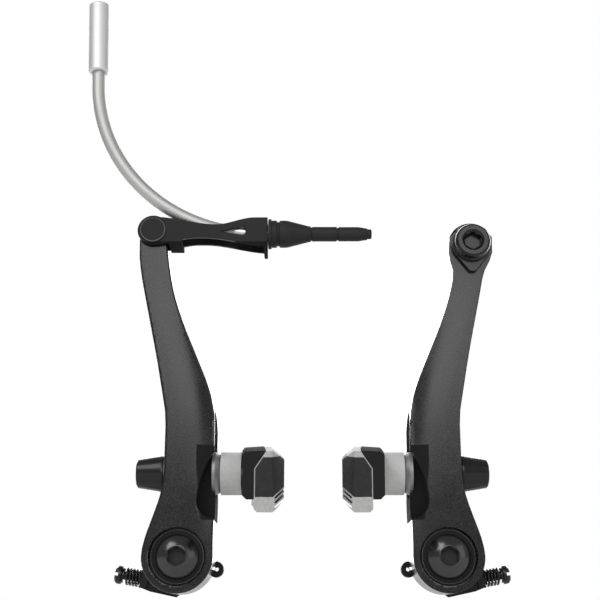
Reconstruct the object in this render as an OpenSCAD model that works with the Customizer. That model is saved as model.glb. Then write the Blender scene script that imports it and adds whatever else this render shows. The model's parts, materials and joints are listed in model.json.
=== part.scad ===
// Linear-pull bicycle brake: two arms with shoes, return springs, link, noodle and boot
// Millimetres. Seen from the front of the bicycle: X to the right, Z up, Y towards the fork.
// The origin lies midway between the two pivot axes, in the plane of the fork's boss shoulders.

/* [Arms] */
// Distance between the two pivot axes
boss_spacing = 80; // [76:1:92]
// Height of the link pin above the left pivot
link_pin_height = 100.9; // [97:0.5:106]
// Height of the cable bolt above the right pivot
cable_bolt_height = 96.4; // [93:0.5:102]
// How far the top of each arm leans away from the centre
top_lean = 10.4; // [9:0.2:13]
// Distance from the boss shoulder to the front face of an arm
arm_reach = 21; // [20.5:0.25:23]
// Radius of the foot around the pivot
foot_r = 10.6; // [10.2:0.1:11.4]
// Width of the straight lower part
body_w = 14.9; // [14.4:0.1:15.4]
// Width of the neck
neck_w = 9.3; // [8.8:0.1:10.4]
// Thickness of the neck, front to back
neck_t = 5.5; // [5:0.1:6]
// Height where the thick lower part ends
shoulder_z = 52; // [50:0.5:56]
// Radius of the round top that takes the cable bolt
anchor_r = 7.2; // [6.8:0.1:7.8]

/* [Pivot] */
// Bore of the pivot bush, for an 8 mm boss
bush_bore = 8.1; // [8:0.05:8.3]
// Outer diameter of the pivot bush
bush_od = 11; // [10.6:0.1:11.2]
// Diameter of the bush's front flange
bush_flange_d = 16; // [15:0.2:16.4]
// Thickness of the bush's front flange
bush_flange_t = 1.2; // [1:0.1:1.5]
// Diameter of the mounting bolt's head
bolt_head_d = 12.8; // [12:0.2:13.4]
// Height of the mounting bolt's domed head
bolt_head_h = 3.6; // [3.2:0.1:4]
// Width across flats of the sockets in the bolts
socket_af = 5; // [4:0.5:5.5]
// Thickness of the spring holder's plate
holder_t = 3; // [2.8:0.1:3.2]
// Thickness of the stopper plate
stopper_t = 1.4; // [1:0.1:1.5]

/* [Return spring] */
// Diameter of the return spring's wire
spring_wire = 1.4; // [1.2:0.1:1.5]
// Mean radius of the return spring's coil
spring_coil_r = 7; // [6.8:0.1:7.2]
// Height where the spring's long leg hooks into the arm
spring_hook_z = 44; // [43:0.5:47]

/* [Tension screw] */
// Diameter of the tension screw's head
screw_head_d = 5.6; // [5:0.1:6]
// Length of the tension screw's head
screw_head_l = 2.9; // [2.5:0.1:3.2]
// Length of the coil spring under the head
screw_spring_l = 5.2; // [5:0.1:6]
// Turns of that coil spring
screw_spring_turns = 4.5; // [3.5:0.5:5]
// Downward tilt of the screw towards the pivot
screw_tilt = 10; // [6:1:14]

/* [Shoe mounting] */
// Height of the shoe stud above the pivot
stud_z = 25.2; // [25:0.2:36]
// Distance of the stud axis behind the arm's front face
stud_depth = 8.5; // [8.3:0.1:9]
// Diameter of the stud
stud_d = 6; // [5.8:0.1:6.2]
// Length of the stud's travel in the arm's slot
slot_travel = 14; // [12:0.5:15]
// Diameter of the washers
washer_d = 13; // [12.4:0.1:13.2]
// Thickness of the domed washers at their rim
dome_rim_t = 1; // [0.8:0.1:1.4]
// Height of a domed washer that shows beside its seat
dome_h = 2.5; // [2.3:0.1:2.8]
// Thickness of the spacer washer
spacer_t = 6.3; // [5.1:0.2:7.9]
// Length of the shoe nut outside the arm
nut_l = 8.7; // [7.5:0.2:10]
// Diameter of the shoe nut at its inner end
nut_d = 11.2; // [10.8:0.1:11.6]

/* [Shoes] */
// Length of a shoe in front of the stud
shoe_front = 28; // [24:1:32]
// Length of a shoe behind the stud
shoe_rear = 42; // [34:1:46]
// Radius of the rim that the shoes follow
rim_r = 280; // [250:5:320]
// Pitch of the shoes, front end down
shoe_pitch = 8; // [0:1:10]
// Toe-in of the shoes, front ends closer together
shoe_toe = 3; // [0:0.5:3]
// Thickness of the backing
backing_t = 3.4; // [3.2:0.1:4]
// Thickness of the pad in front of the backing
pad_t = 8.7; // [8.1:0.2:9.9]
// Half the height of the pad
pad_half_h = 8.6; // [8.2:0.1:9.2]
// Height of the chamfers at the pad's top and bottom
pad_chamfer = 2.9; // [2:0.1:3.4]
// Length of the lead-in at the ends of the braking face
lead_in = 5; // [3:0.5:7]

/* [Link] */
// Distance from the pin to the end wall
link_l = 35.2; // [34:0.2:38]
// Thickness of the folded steel
link_t = 1.1; // [0.9:0.1:1.3]
// Radius of the link around the pin
link_end_r = 4.9; // [4.6:0.1:5.2]
// Height of the link above its axis at the end wall
link_top = 4.3; // [4:0.1:4.8]
// Depth of the link below its axis at the end wall
link_bottom = 5.3; // [5:0.1:6]
// Diameter of the pin's head
pin_head_d = 7.9; // [7:0.1:8.6]
// Diameter of the pin
pin_d = 4; // [3.4:0.1:4.4]

/* [Noodle and boot] */
// Outer diameter of the noodle's tube
tube_d = 4.24; // [4:0.02:4.6]
// Inner diameter of the noodle's tube
tube_bore = 2.6; // [2.4:0.05:2.7]
// Radius of the noodle's bend
bend_r = 54.2; // [48:0.2:60]
// Angle of the noodle's bend
bend_angle = 87.7; // [75:0.1:90]
// Straight tube between the bend and the ferrule
tube_straight = 4.9; // [3.4:0.5:13.9]
// Outer diameter of the ferrule
ferrule_d = 6.9; // [6.6:0.1:7.4]
// Length of the ferrule
ferrule_l = 25.4; // [22:0.2:28]
// Bore of the ferrule, for a 5 mm housing
housing_bore = 5.1; // [5:0.05:5.3]
// Depth of the housing socket
housing_depth = 12; // [8:0.5:15]
// Outer diameter of the boot's bulb
boot_d = 8.8; // [8.4:0.1:9.2]
// Length of the boot
boot_l = 33; // [30:0.5:36]

/* [Cable bolt] */
// Diameter of the cable bolt's head
cable_head_d = 11.2; // [10.6:0.1:11.6]
// Height of the cable bolt's head
cable_head_h = 3.7; // [3.2:0.1:4.4]
// Diameter of the round part of the clamp plate
clamp_d = 12.7; // [12.2:0.1:13.2]
// Thickness of the clamp plate
clamp_t = 1.6; // [1.2:0.1:2]

/* [Hidden] */
SIDES = ["left", "right"];
SIDE_PARTS = ["arm", "pivot_bush", "pivot_washer", "mounting_bolt", "stopper_plate", "spring_holder",
    "return_spring", "tension_screw", "tension_spring", "shoe_stud", "shoe_backing", "brake_pad",
    "spacer_washer", "inner_dome_washer", "outer_dome_washer", "outer_seat_washer", "shoe_nut"];
$fn = 64;

// Colours
BLACK = "#2e2e2e";
DARK = "#1e1e1e";
GREY = "#8c8c8c";
SILVER = "#c4c4c4";
RUBBER = "#262626";

// Clearances
running = 0.05;
thread_gap = 0.03;
side_gap = 0.3;
cut = 0.5;

// Layers of the pivot, from the shoulder plane at Y 0 towards the front
front_y = -arm_reach;
holder_back_y = -stopper_t - side_gap - 0.1;
foot_back_y = holder_back_y - holder_t;
spring_room = 6;
spring_floor_y = foot_back_y - spring_room;
flange_recess = bush_flange_t + 2.6;
recess_y = front_y + flange_recess;
flange_y = recess_y - 0.2;
washer_y = flange_y - bush_flange_t;
washer_t = 1;
head_y = washer_y - washer_t;
recess_r = bush_flange_d / 2 + 0.5;
bush_r = bush_od / 2;
bolt_r = 3;
bolt_neck_r = 2.7;
spring_room_r = spring_coil_r + spring_wire / 2 + 0.7;
anchor_pin_z = 11.5;
stopper_r = bush_r + 3.1;

// Tension screw: its X runs from the head's outer end towards the pivot
screw_out = 20.4;
screw_drop = 4.3;
screw_r = 1.25;
block_x = screw_head_l + screw_spring_l;
block_l = 5.4;
screw_y = (holder_back_y + foot_back_y) / 2;

// Neck and tops of the arms
neck_back_y = front_y + neck_t;
tongue_r = neck_w / 2;
body_shift = 2.8;
shift_to = 22;
body_low = 27;
bend_half = 4;
narrow_from = shoulder_z - bend_half;
narrow_to = narrow_from + 36;
lean_from = shoulder_z - 12;
lean_to = 100;

// Shoe mounting
stud_y = front_y + stud_depth;
stud_r = stud_d / 2;
slot_r = stud_r + side_gap;
slot_low = 24.8;
slot_high = slot_low + slot_travel;
washer_r = washer_d / 2;
seat_r = washer_r + 0.5;
rim_gap = 0.1;
inner_seat_x = 9.5;
pocket_depth = 5.6;
outer_face_x = -5;
outer_seat_x = outer_face_x + pocket_depth;
outer_seat_t = pocket_depth - dome_h - rim_gap;
dome_top_r = washer_r - 0.85;
dome_run = dome_h - dome_rim_t;
dome_centre = ((washer_r * washer_r - dome_top_r * dome_top_r) / -dome_run + dome_rim_t + dome_h) / 2;
dome_r = norm([dome_rim_t - dome_centre, washer_r]);
dome_bore_r = stud_r + 0.9;
seat_gap = 0.06;
plain_bore_r = stud_r + 0.2;
spacer_x = inner_seat_x + dome_h + rim_gap;
backing_x = spacer_x + spacer_t;
stud_in_backing = 1.6;
pad_face_x = backing_x + backing_t + pad_t;
pad_edge = 3.4;
shoe_drop = 0.4;

// Link, noodle and boot share one axis
pin_x = -boss_spacing / 2 - top_lean;
noodle_y = front_y + neck_t / 2;
link_inner = neck_t + 2 * side_gap;
link_front_y = noodle_y - link_inner / 2 - link_t;
link_back_y = noodle_y + link_inner / 2 + link_t;
pin_r = pin_d / 2;
pin_head_t = 0.9;
wall_x = pin_x + link_l;
tab_x = neck_w / 2 + 0.5;
tab_l = 4.2;
tab_drop = 5;
end_tab = 1.7;
tube_r = tube_d / 2;
tip_r = 2.6;
tip_flange_r = link_inner / 2 - 0.2;
nose_r = 1.9;
nose_l = 6.5;
tip_face_x = wall_x - side_gap;
bend_x = tip_face_x - 1.2;
cable_r = 1;
boot_x = wall_x + link_t + 0.2;
tube_in_ferrule = ferrule_l - housing_depth - 1.5;

// Helper functions
function clamp01(t) = min(1, max(0, t));
function smooth(t) = let (c = clamp01(t)) c * c * (3 - 2 * c);
function mix(a, b, t) = a + (b - a) * t;
function unit(v) = v / norm(v);

// Spine and width of an arm at height z above its pivot
function lean(z) = smooth(pow(clamp01((z - lean_from) / (lean_to - lean_from)), 0.84));
function narrowing(z) = smooth(pow(clamp01((z - narrow_from) / (narrow_to - narrow_from)), 0.75));
function arm_mid(z) = mix(body_shift * smooth(z / shift_to), -top_lean, lean(z));
function foot_w(z) = mix(2 * foot_r, body_w, pow(smooth(z / body_low), 0.8));
function arm_w(z) = mix(foot_w(z), neck_w, narrowing(z));
function arm_back(z) = mix(foot_back_y, neck_back_y, smooth((z - shoulder_z + bend_half) / (2 * bend_half)));

// The outline is a chain of stations [height, middle, half width] from the foot to the round top
function top_z(side) = side == "left" ? link_pin_height : cable_bolt_height;
function top_r(side) = side == "left" ? tongue_r : anchor_r;
function flared_w(side, z) = mix(arm_w(z), 2 * top_r(side) - 0.6,
    smooth((z - top_z(side) + 1.45 * anchor_r) / (1.1 * anchor_r)));
function foot_stations() = [for (a = [7.5:7.5:82.5]) [-foot_r * cos(a), 0, foot_r * sin(a)]];
function side_stations(side) = let (
        last = top_z(side) - 0.35 * top_r(side),
        foot = [for (z = [0:2.5:30]) z],
        body = [for (i = [1:3]) mix(30, narrow_from, i / 4)],
        shoulder = [for (z = [narrow_from:1.5:narrow_from + 10]) z],
        neck = [for (i = [1:12]) mix(narrow_from + 10, last, i / 12)],
        heights = concat(foot, body, shoulder, neck))
    [for (z = heights) [z, arm_mid(z), flared_w(side, z) / 2]];
function top_stations(side) = [for (a = [70:-10:10])
    [top_z(side) + top_r(side) * cos(a), -top_lean, top_r(side) * sin(a)]];
function arm_half(side) = concat(foot_stations(), side_stations(side), top_stations(side));
function arm_loop(side) = let (half = arm_half(side), last = len(half) - 1) concat(
    [[0, -foot_r]],
    [for (s = half) [s[1] + s[2], s[0]]],
    [[-top_lean, top_z(side) + top_r(side)]],
    [for (i = [last:-1:0]) [half[i][1] - half[i][2], half[i][0]]]);

module on_side(side) {
    mirror([side == "left" ? 0 : 1, 0, 0]) translate([-boss_spacing / 2, 0, 0]) children();
}

// A cylinder along Y from y0 to y1
module y_rod(r, y0, y1) {
    translate([0, min(y0, y1), 0]) rotate([-90, 21, 0]) cylinder(r = r, h = abs(y1 - y0));
}

// A cylinder along X from x0 to x1
module x_rod(r, x0, x1) {
    translate([min(x0, x1), 0, 0]) rotate([0, 90, 0]) cylinder(r = r, h = abs(x1 - x0));
}

// A box between two corners
module box(a, b) {
    translate(a) cube(b - a);
}

// An outline drawn in X and Z, thickened along Y between y0 and y1
module plate_xz(y0, y1) {
    translate([0, max(y0, y1), 0]) rotate([90, 0, 0]) linear_extrude(abs(y1 - y0)) children();
}

// A hexagon socket along Y with flats left and right, widened at its mouth
module y_socket(af, mouth_y, depth) {
    r = af / 2 / cos(30);
    translate([0, mouth_y, 0]) rotate([-90, 30, 0]) cylinder(r = r, h = depth, $fn = 6);
    translate([0, mouth_y - cut, 0]) rotate([-90, 0, 0])
        cylinder(r1 = r + 0.6 + cut, r2 = r - 0.3, h = 0.9 + cut);
}

// A tube swept along a path of points, closed at both ends
module wire(path, r, sides = 8) {
    n = len(path);
    function heading(i) = unit(path[min(n - 1, i + 1)] - path[max(0, i - 1)]);
    function level(u, h) = unit(u - (u * h) * h);
    first = level([0.36, 0.48, 0.8], heading(0));
    // Each ring's first direction is carried on from the ring before it, so the tube never twists
    us = [for (i = 0, u = first; i < n; i = i + 1, u = i < n ? level(u, heading(i)) : u) u];
    points = [for (i = [0:n - 1]) let (u = us[i], v = cross(heading(i), u))
        for (k = [0:sides - 1]) path[i] + r * (u * cos(360 * k / sides) + v * sin(360 * k / sides))];
    faces = concat(
        [[for (k = [0:sides - 1]) k]],
        [for (i = [0:n - 2]) for (k = [0:sides - 1]) let (m = (k + 1) % sides)
            [i * sides + k, (i + 1) * sides + k, (i + 1) * sides + m, i * sides + m]],
        [[for (k = [sides - 1:-1:0]) (n - 1) * sides + k]]);
    polyhedron(points, faces, convexity = 8);
}

// The cast body of an arm: its outline as seen from the front, thinned behind the neck
module arm_blank(side) {
    high = top_z(side) + 2 * anchor_r;
    reach = top_lean + 2 * foot_r;
    bend_z = [for (i = [1:12]) shoulder_z - bend_half + 2 * bend_half * i / 12.5];
    behind = concat(
        [[foot_back_y + cut, shoulder_z - bend_half]],
        [for (z = bend_z) [arm_back(z), z]],
        [[neck_back_y, shoulder_z + bend_half + 0.5], [neck_back_y, high], [foot_back_y + cut, high]]);
    difference() {
        plate_xz(front_y, foot_back_y) polygon(arm_loop(side));
        translate([-reach, 0, 0]) rotate([90, 0, 90]) linear_extrude(2 * reach) polygon(behind);
    }
}

// A slot across the arm, as wide as 2 r, over the stud's travel
module slot_cut(r, x0, x1) {
    for (z = [slot_low, slot_high]) translate([0, stud_y, z]) x_rod(r, x0, x1);
    box([x0, stud_y - r, slot_low], [x1, stud_y + r, slot_high]);
}

// The scallop at the front inner edge that clears the washer
module scallop_cut() {
    depth = 4.2;
    low = 11;
    high = 32.5;
    outline = concat(
        [for (t = [0:0.125:1]) [inner_seat_x + 1.2 - (depth + 1.2) * sin(90 * t), mix(high, low + 5, t)]],
        [for (a = [15:15:90]) [inner_seat_x + 1.2 - (depth + 1.2) * cos(a), low + 5 - 5 * sin(a)]]);
    translate([0, front_y + 4.6, 0]) rotate([90, 0, 0]) linear_extrude(8)
        polygon(concat(outline, [[inner_seat_x + 4, low], [inner_seat_x + 4, high]]));
}

// Room in the back of the foot for the spring, with the groove for its leg
module spring_cut() {
    groove = spring_wire / 2 + 0.5;
    y_rod(spring_room_r, spring_floor_y, foot_back_y + cut);
    box([spring_coil_r - groove, spring_floor_y, 0], [spring_coil_r + groove, foot_back_y + cut, 15]);
    box([spring_coil_r - groove, foot_back_y - spring_wire - 1, 14],
        [spring_coil_r + groove, foot_back_y + cut, spring_hook_z + groove]);
    translate([spring_coil_r, 0, spring_hook_z]) y_rod(groove, foot_back_y - 5.5, foot_back_y);
}

module arm(side) {
    color(BLACK) on_side(side) difference() {
        arm_blank(side);
        y_rod(bush_r + running, front_y - cut, foot_back_y + cut);
        y_rod(recess_r, front_y - cut, recess_y);
        spring_cut();
        slot_cut(slot_r, outer_face_x - 4, inner_seat_x + 4);
        slot_cut(seat_r, outer_face_x - 4, outer_seat_x);
        slot_cut(seat_r, inner_seat_x, inner_seat_x + 4);
        scallop_cut();
        translate([-top_lean, 0, top_z(side)]) {
            if (side == "left") y_rod(pin_r + running, front_y - cut, neck_back_y + cut);
            else {
                y_rod(bolt_r + thread_gap, front_y - cut, neck_back_y + cut);
                translate([0, front_y, bolt_r + 1]) x_rod(0.9, -anchor_r - cut, anchor_r + cut);
            }
        }
    }
}

module pivot_bush(side) {
    color(GREY) on_side(side) difference() {
        union() {
            y_rod(bush_r, flange_y - cut, 0);
            y_rod(bush_flange_d / 2, washer_y, flange_y);
        }
        y_rod(bush_bore / 2, washer_y - cut, cut);
    }
}

module pivot_washer(side) {
    color(BLACK) on_side(side) difference() {
        y_rod(bush_flange_d / 2 - 0.1, head_y, washer_y);
        y_rod(bolt_r + 0.15, head_y - cut, washer_y + cut);
    }
}

module mounting_bolt(side) {
    dome = (pow(bolt_head_d / 2, 2) + pow(bolt_head_h - 0.8, 2)) / 2 / (bolt_head_h - 0.8);
    color(DARK) on_side(side) difference() {
        union() {
            intersection() {
                y_rod(bolt_head_d / 2, head_y - bolt_head_h, head_y);
                translate([0, head_y - bolt_head_h + dome, 0]) sphere(r = dome, $fn = 128);
            }
            y_rod(bolt_neck_r, head_y - 0.3, -4);
            y_rod(bolt_r, washer_y + 0.2, -3);
        }
        y_socket(socket_af, head_y - bolt_head_h, 3.2);
    }
}

module stopper_plate(side) {
    color(GREY) on_side(side) {
        difference() {
            union() {
                y_rod(stopper_r, -stopper_t, 0);
                box([-2.2, -stopper_t, 0], [2.2, 0, anchor_pin_z]);
                translate([0, 0, anchor_pin_z]) y_rod(2.6, -stopper_t, 0);
                translate([0, 0, anchor_pin_z]) y_rod(1.3, -cut, 4.8);
            }
            y_rod(bush_r + running, -stopper_t - cut, cut);
            translate([0, 0, -spring_coil_r]) y_rod(spring_wire / 2 + 0.3, -stopper_t - cut, cut);
        }
    }
}

module at_screw(side) {
    on_side(side) translate([-screw_out, screw_y, -screw_drop]) rotate([0, screw_tilt, 0]) children();
}

module spring_holder(side) {
    ear = [foot_r - 0.2, -3];
    rim = [for (a = [85:20:165]) (foot_r - 1.3) * [cos(a), sin(a)]];
    shelf = [[-block_x - 1.4, 3], [-13.2, 8.2], [-9.6, 9.6], [-1.6, foot_r + 0.7]];
    window = [[0, 0], [2 * foot_r, -3], [2 * foot_r, 2 * foot_r], [3, 2 * foot_r]];
    color(DARK) difference() {
        union() {
            on_side(side) {
                y_rod(foot_r - 0.4, foot_back_y, holder_back_y);
                translate([ear[0], 0, ear[1]]) y_rod(2.4, foot_back_y, holder_back_y);
                rotate([-90, 0, 0]) translate([0, 0, foot_back_y]) linear_extrude(holder_t)
                    polygon(concat(shelf, rim));
            }
            at_screw(side) translate([block_x, -screw_y, 0]) {
                box([0, foot_back_y - 0.8, -2.8], [2.2, -0.2, 2.8]);
                box([1, foot_back_y + 0.1, -2.6], [block_l, -0.4, 2.6]);
            }
        }
        on_side(side) {
            y_rod(bush_r + 2 * running, foot_back_y - cut, cut);
            y_rod(stopper_r + side_gap, holder_back_y, cut);
            translate([ear[0] + 0.3, 0, ear[1]]) y_rod(0.6, foot_back_y - cut, cut);
            // Arc slot that lets the spring's short leg through as the arm swings
            rotate([90, 0, 0]) translate([0, 0, -cut]) rotate([0, 0, -130])
                linear_extrude(-foot_back_y + 2 * cut) difference() {
                    intersection() {
                        circle(spring_coil_r + spring_wire / 2 + 0.3);
                        polygon(window);
                    }
                    circle(spring_coil_r - spring_wire / 2 - 0.3);
                }
        }
        at_screw(side) x_rod(screw_r + running, block_x - cut, block_x + block_l - 0.6);
    }
}

// Wire of the return spring: hook, long leg, coil and the short leg into the stopper plate
function spring_path() = let (
        back = foot_back_y - spring_wire / 2 - 0.5,
        deep = spring_floor_y + spring_wire / 2 + 0.3,
        turns = 2.25, per_turn = 20, steps = turns * per_turn, end_y = deep + 1.62 * turns)
    concat(
        [[spring_coil_r, back - 3, spring_hook_z], [spring_coil_r, back - 0.5, spring_hook_z],
            [spring_coil_r, back, spring_hook_z - 0.6], [spring_coil_r, back, 15], [spring_coil_r, deep, 3]],
        [for (i = [0:steps]) let (a = -360 * i / per_turn)
            [spring_coil_r * cos(a), mix(deep, end_y, i / steps), spring_coil_r * sin(a)]],
        [for (p = [[-0.6, end_y + 0.5], [-0.6, end_y + 1.2], [-0.1, -0.5]]) [p[0], p[1], -spring_coil_r]]);

module return_spring(side) {
    color(GREY) on_side(side) wire(spring_path(), spring_wire / 2);
}

module tension_screw(side) {
    slot = 0.9;
    r = screw_head_d / 2;
    l = screw_head_l - 0.1;
    head = [[0, 0], [r - 0.7, 0], [r, 0.7], [r, l - 0.8], [r - 0.5, l - 0.5], [r - 0.5, l], [0, l]];
    color(DARK) at_screw(side) difference() {
        union() {
            rotate([0, 90, 0]) rotate_extrude() polygon(head);
            x_rod(screw_r, 1, block_x + block_l - 1);
        }
        box([-cut, -slot / 2, -screw_head_d], [1.1, slot / 2, screw_head_d]);
        box([-cut, -screw_head_d, -slot / 2], [1.1, screw_head_d, slot / 2]);
    }
}

module tension_spring(side) {
    wire_r = 0.38;
    coil_r = screw_head_d / 2 - wire_r;
    per_turn = 16;
    steps = screw_spring_turns * per_turn;
    run = screw_spring_l - 2 * wire_r;
    color(DARK) at_screw(side) wire([for (i = [0:steps]) let (a = 360 * i / per_turn)
        [screw_head_l + wire_r + run * i / steps, coil_r * cos(a), coil_r * sin(a)]], wire_r, 6);
}

module at_stud(side) {
    on_side(side) translate([0, stud_y, stud_z]) children();
}

// A washer with a flat back and a domed face, along +X from its seat
module dome_washer() {
    arc = [for (i = [0:12]) let (r = mix(washer_r, dome_bore_r, i / 12))
        [r, dome_centre + sqrt(dome_r * dome_r - r * r)]];
    rotate([0, 90, 0]) rotate_extrude() polygon(concat([[dome_bore_r, 0], [washer_r, 0]], arc));
}

// A washer with a hollow seat for the dome, along +X from the dome's seat
module seat_washer(t) {
    difference() {
        x_rod(washer_r, dome_h + rim_gap, dome_h + rim_gap + t);
        translate([dome_centre, 0, 0]) sphere(r = dome_r + seat_gap, $fn = 128);
        x_rod(plain_bore_r, 0, dome_h + rim_gap + t + cut);
    }
}

module inner_dome_washer(side) {
    color(GREY) at_stud(side) translate([inner_seat_x, 0, 0]) dome_washer();
}

module spacer_washer(side) {
    color(GREY) at_stud(side) translate([inner_seat_x, 0, 0]) seat_washer(spacer_t);
}

module outer_dome_washer(side) {
    color(GREY) at_stud(side) translate([outer_seat_x, 0, 0]) mirror([1, 0, 0]) dome_washer();
}

module outer_seat_washer(side) {
    color(GREY) at_stud(side) translate([outer_seat_x, 0, 0]) mirror([1, 0, 0]) seat_washer(outer_seat_t);
}

module shoe_stud(side) {
    color(GREY) at_stud(side) x_rod(stud_r, outer_face_x - nut_l / 2, backing_x + stud_in_backing);
}

module shoe_nut(side) {
    r = nut_d / 2;
    tip = r - 1.2;
    taper = [[0, 0], [r - 0.3, 0], [r, 0.3], [r, 1], [tip, nut_l - 0.5], [tip - 0.5, nut_l], [0, nut_l]];
    color(DARK) at_stud(side) difference() {
        translate([outer_face_x, 0, 0]) rotate([0, -90, 0]) rotate_extrude() polygon(taper);
        x_rod(stud_r + thread_gap, outer_face_x - nut_l + 3.6, outer_face_x + cut);
        translate([outer_face_x - nut_l - cut, 0, 0]) rotate([0, 90, 0])
            cylinder(r = socket_af / 2 / cos(30), h = 3.3 + cut, $fn = 6);
    }
}

// Shoes follow the rim: their section [height, thickness] turns about the wheel's axis
function pad_section() = let (top = pad_half_h, a = backing_x + backing_t, b = pad_face_x, c = b - pad_edge) [
    [-top + 0.9, a], [-top, a + 0.9], [-top, c], [-top + pad_chamfer, b],
    [top - pad_chamfer, b], [top, c], [top, a + 3.3], [top - 4.9, a]];
function backing_section() = let (top = pad_half_h, a = backing_x, b = a + backing_t) [
    [-top + 3.6, a + 1.2], [-top + 4.8, a], [top - 1.2, a], [top - 0.2, a + 0.8],
    [top + 0.2, b + 3.1], [top - 4.75, b - 0.05], [-top + 3.6, b - 0.05]];

module along_rim(section) {
    front = shoe_front / rim_r * 180 / PI;
    rear = shoe_rear / rim_r * 180 / PI;
    translate([0, 0, -rim_r - shoe_drop]) rotate([90, 0, 90]) rotate([0, 0, 90 - rear])
        rotate_extrude(angle = front + rear, $fn = 720)
            polygon([for (p = section) [rim_r + p[0], p[1]]]);
}

module at_shoe(side) {
    at_stud(side) translate([backing_x, 0, 0]) rotate([shoe_pitch, 0, shoe_toe])
        translate([-backing_x, 0, 0]) children();
}

module shoe_backing(side) {
    color(RUBBER) difference() {
        at_shoe(side) along_rim(backing_section());
        at_stud(side) {
            x_rod(stud_r + thread_gap, backing_x - 2, backing_x + stud_in_backing + 0.2);
            x_rod(washer_r + side_gap, backing_x - 2, backing_x);
        }
    }
}

// Wedge off one end of the braking face
module lead_in_cut(y, turn) {
    size = 2 * pad_half_h;
    translate([pad_face_x, y, 0]) mirror([0, turn, 0]) translate([-pad_edge, 0, 0])
        rotate([0, 0, atan2(lead_in, pad_edge)]) translate([-pad_edge, -size, -size])
            cube([size + pad_edge, size, 2 * size]);
}

// Drain slots across the grey lower edge of the pad at one end
module drain_cut(y) {
    slope = atan2(pad_chamfer, pad_edge);
    for (i = [1:3]) translate([pad_face_x - pad_edge + 0.7, y, -pad_half_h - shoe_drop + 1.35 * i])
        rotate([0, -slope, 0]) translate([0, -1, -0.3]) cube([8, 10, 0.6]);
}

module brake_pad(side) {
    color(RUBBER) at_shoe(side) difference() {
        along_rim(pad_section());
        lead_in_cut(-shoe_front, 0);
        lead_in_cut(shoe_rear, 1);
        translate([0, 0, -1.4]) drain_cut(-shoe_front);
        translate([0, 0, -3]) drain_cut(shoe_rear - 9);
    }
}

// Link: two plates joined by the end wall and by the stop tab under the neck
function link_upper(x) = x < 20 ? mix(link_end_r - 0.4, 1.95, smooth(x / 20))
    : mix(1.95, link_top, smooth((x - 20) / 12));
function link_lower(x) = x < 16 ? mix(-link_end_r, -2.5, smooth(x / 14))
    : mix(-2.5, -link_bottom, smooth((x - 16) / (link_l - 14)));

module link_plate_outline() {
    last = link_l + link_t;
    window_x = link_l - 7.3;
    xs = [for (i = [0:24]) last * i / 24];
    difference() {
        union() {
            circle(link_end_r);
            polygon(concat(
                [for (x = xs) [x, link_upper(x)]],
                [for (i = [24:-1:0]) [xs[i], link_lower(xs[i])]]));
            translate([tab_x, -tab_drop]) square([tab_l, tab_drop - 2]);
        }
        circle(pin_r + thread_gap);
        // Window over the tube's seat, drawn out to a point towards the pin
        translate([window_x, -0.2]) circle(1.5);
        polygon([[window_x - 6.5, -0.4], [window_x, 1.3], [window_x, -1.7]]);
    }
}

module at_pin() {
    translate([pin_x, 0, link_pin_height]) children();
}

module link() {
    color(BLACK) at_pin() difference() {
        union() {
            plate_xz(link_front_y, link_front_y + link_t) link_plate_outline();
            plate_xz(link_back_y - link_t, link_back_y) link_plate_outline();
            box([link_l, link_front_y, -link_bottom - end_tab],
                [link_l + link_t, link_back_y, link_top - 0.4]);
            box([tab_x, link_front_y, -tab_drop], [tab_x + tab_l, link_back_y, -tab_drop + link_t]);
        }
        translate([0, noodle_y, 0]) x_rod(nose_r + side_gap, link_l - cut, link_l + link_t + cut);
        box([link_l - cut, noodle_y - 1.3, 0], [link_l + link_t + cut, noodle_y + 1.3, link_top + cut]);
    }
}

module link_pin() {
    r = pin_head_d / 2;
    head = [[0, 0], [r, 0], [r, pin_head_t - 0.25], [r - 0.25, pin_head_t], [0, pin_head_t]];
    color(BLACK) at_pin() {
        y_rod(pin_r, link_front_y - 0.1, link_back_y + 0.1);
        translate([0, link_front_y, 0]) rotate([90, 0, 0]) rotate_extrude() polygon(head);
        translate([0, link_back_y, 0]) y_rod(pin_r + 0.9, 0, 0.7);
    }
}

module on_noodle_axis() {
    translate([0, noodle_y, link_pin_height]) children();
}

// A ring of the noodle's bend between two angles, measured from the seat
module bend(r_out, r_in, from, to) {
    translate([bend_x, 0, bend_r]) rotate([90, 0, 0]) rotate([0, 0, -90 - to])
        rotate_extrude(angle = to - from, $fn = 144) translate([bend_r, 0]) difference() {
            circle(r_out);
            circle(r_in);
        }
}

// A straight ring beyond the bend, a distance a to b past its end
module past_bend(r_out, r_in, a, b) {
    translate([bend_x, 0, bend_r]) rotate([0, bend_angle, 0]) translate([0, 0, -bend_r])
        difference() {
            x_rod(r_out, -b, -a);
            if (r_in > 0) x_rod(r_in, -b - cut, -a + cut);
        }
}

module noodle_tube() {
    color(SILVER) on_noodle_axis() {
        bend(tube_r, tube_bore / 2, 0, bend_angle);
        past_bend(tube_r, tube_bore / 2, 0, tube_straight + tube_in_ferrule);
    }
}

module noodle_ferrule() {
    start = tube_straight;
    end = start + ferrule_l;
    r = ferrule_d / 2;
    color(SILVER) on_noodle_axis() translate([bend_x, 0, bend_r]) rotate([0, bend_angle, 0])
        translate([0, 0, -bend_r]) difference() {
            rotate([0, -90, 0]) rotate_extrude() polygon([[0, start], [r - 0.5, start], [r, start + 0.5],
                [r, end - 0.3], [r - 0.3, end], [0, end]]);
            x_rod(tube_r + thread_gap, -start - tube_in_ferrule - 0.1, -start + cut);
            x_rod(cable_r + 0.2, -end, -start);
            x_rod(housing_bore / 2, -end - cut, -end + housing_depth);
        }
}

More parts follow.
